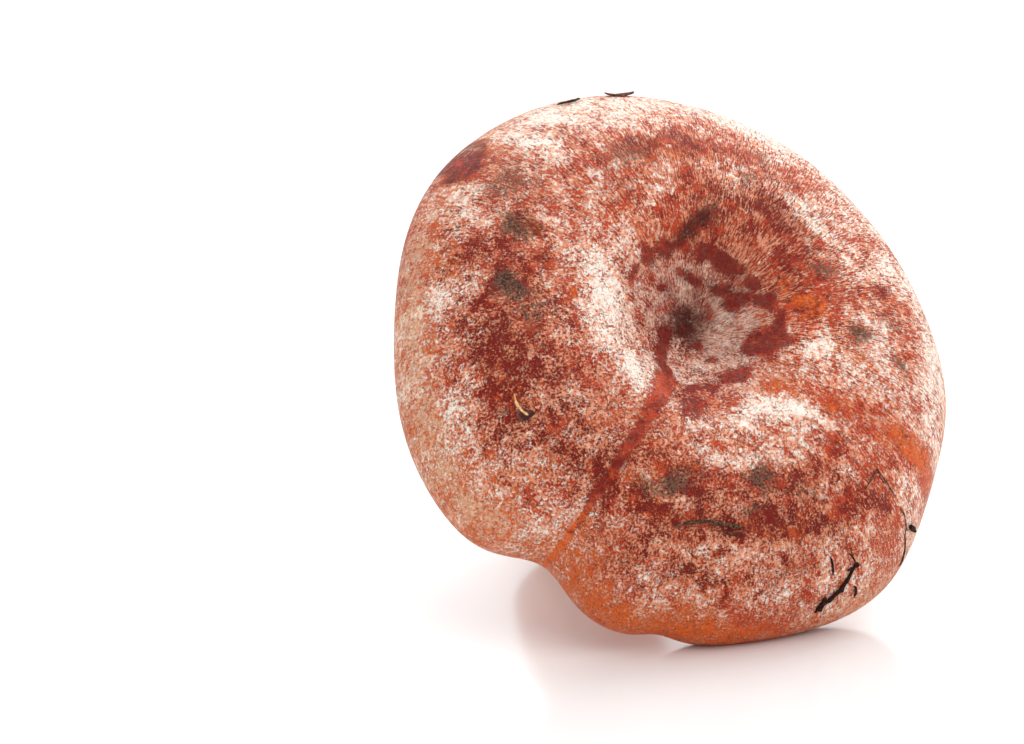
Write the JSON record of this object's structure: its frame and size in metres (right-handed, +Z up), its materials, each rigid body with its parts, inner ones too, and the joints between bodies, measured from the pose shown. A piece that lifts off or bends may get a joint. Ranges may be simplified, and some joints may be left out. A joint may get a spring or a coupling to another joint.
{
  "type": "saffron milk cap mushroom",
  "caption": "Picked mushroom with a dished, rolled-edge orange cap, crowded gills and a short cut stem, lying on its cap rim and the cut stem end, with scraps of forest litter.",
  "frame": {"origin": "centre of the footprint's bounding box, on the surface that the mushroom lies on", "axes": "+Z up from that surface; +Y from the cap towards the cut end of the stem, so the top of the cap faces -Y and up; +X to the right when looking along +Y"},
  "size_m": [0.095, 0.0776, 0.0795],
  "materials": {
    "mushroom_flesh": "satin, mottled skin with a pale bloom",
    "dark_bark": "rough",
    "dry_needle": "dry, satin",
    "dead_leaf": "rough",
    "bud_scale": "papery, slightly translucent"
  },
  "bodies": {
    "root": {"mushroom": "mushroom_flesh", "twig_sliver": "dark_bark", "bark_shred_high": "dark_bark", "bark_shred_low": "dark_bark", "bark_crumb": "dark_bark", "pine_needle": "dry_needle", "split_needle": "dry_needle", "rootlet": "dry_needle", "moss_hair": "dry_needle", "leaf_flake": "dead_leaf", "bud_scale": "bud_scale"}
  },
  "joints": []
}
